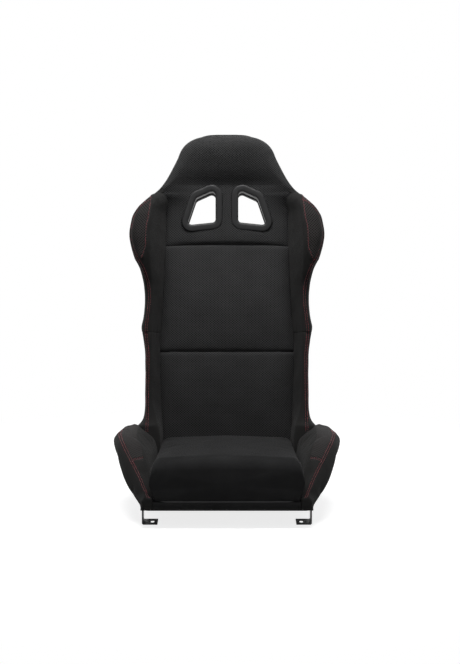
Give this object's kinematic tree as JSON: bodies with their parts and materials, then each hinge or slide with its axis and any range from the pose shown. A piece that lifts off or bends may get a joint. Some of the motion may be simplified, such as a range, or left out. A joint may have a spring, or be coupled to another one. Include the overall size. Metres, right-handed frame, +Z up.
{
  "type": "racing seat",
  "caption": "Fixed-back bucket racing seat with a tubular frame, bolstered pads, harness openings, slotted side brackets and a lift-out cushion.",
  "frame": {"origin": "centre of the overall box at the undersides of the bracket feet", "axes": "+Z up, -Y forwards the way the sitter faces, +X across to the side that is on the right when the seat is looked at from the front"},
  "size_m": [0.5866, 0.6505, 0.9504],
  "materials": {
    "frame_steel": "satin black powder coat",
    "bracket_steel": "satin black powder coat on folded sheet",
    "screw_steel": "black oxide",
    "black_plastic": "satin black moulding",
    "webbing": "elastic webbing",
    "centre_mesh": "very dark grey knitted mesh",
    "bolster_fabric": "black woven fabric with red double stitching",
    "cushion_fabric": "smooth matte black fabric",
    "foam": "moulded foam",
    "rear_board": "fabric-faced board",
    "lining": "thin black lining",
    "hook_and_loop": "hook-and-loop tape"
  },
  "bodies": {
    "seat": {"base_frame": "frame_steel", "back_hoop": "frame_steel", "rear_cross_tube": "frame_steel", "lumbar_cross_tube": "frame_steel", "shoulder_cross_tube": "frame_steel", "wing_stay_right": "frame_steel", "wing_stay_left": "frame_steel", "thigh_stay_right": "frame_steel", "thigh_stay_left": "frame_steel", "frame_bosses": "frame_steel", "frame_end_plugs": "black_plastic", "back_webbing": "webbing", "seat_webbing": "webbing", "bracket_right": "bracket_steel", "bracket_left": "bracket_steel", "bracket_screws": "screw_steel", "harness_bezel_right": "black_plastic", "harness_bezel_left": "black_plastic", "rear_bezel_right": "black_plastic", "rear_bezel_left": "black_plastic", "side_bolster_right": "bolster_fabric", "side_bolster_left": "bolster_fabric", "shoulder_wing_right": "bolster_fabric", "shoulder_wing_left": "bolster_fabric", "lumbar_panel": "centre_mesh", "upper_back_panel": "centre_mesh", "head_panel": "centre_mesh", "back_foam": "foam", "head_pad": "bolster_fabric", "rear_cover": "rear_board", "front_lip": "cushion_fabric", "base_pad": "cushion_fabric", "dust_cover": "lining", "thigh_bolster_right": "bolster_fabric", "thigh_bolster_left": "bolster_fabric", "base_loop_strips": "hook_and_loop"},
    "cushion": {"seat_cushion": "cushion_fabric", "cushion_hook_strips": "hook_and_loop"}
  },
  "joints": [
    {"name": "cushion_lift", "type": "slide", "parent": "seat", "child": "cushion", "axis": [0, 0, 1], "range_m": [0, 0.25]}
  ]
}
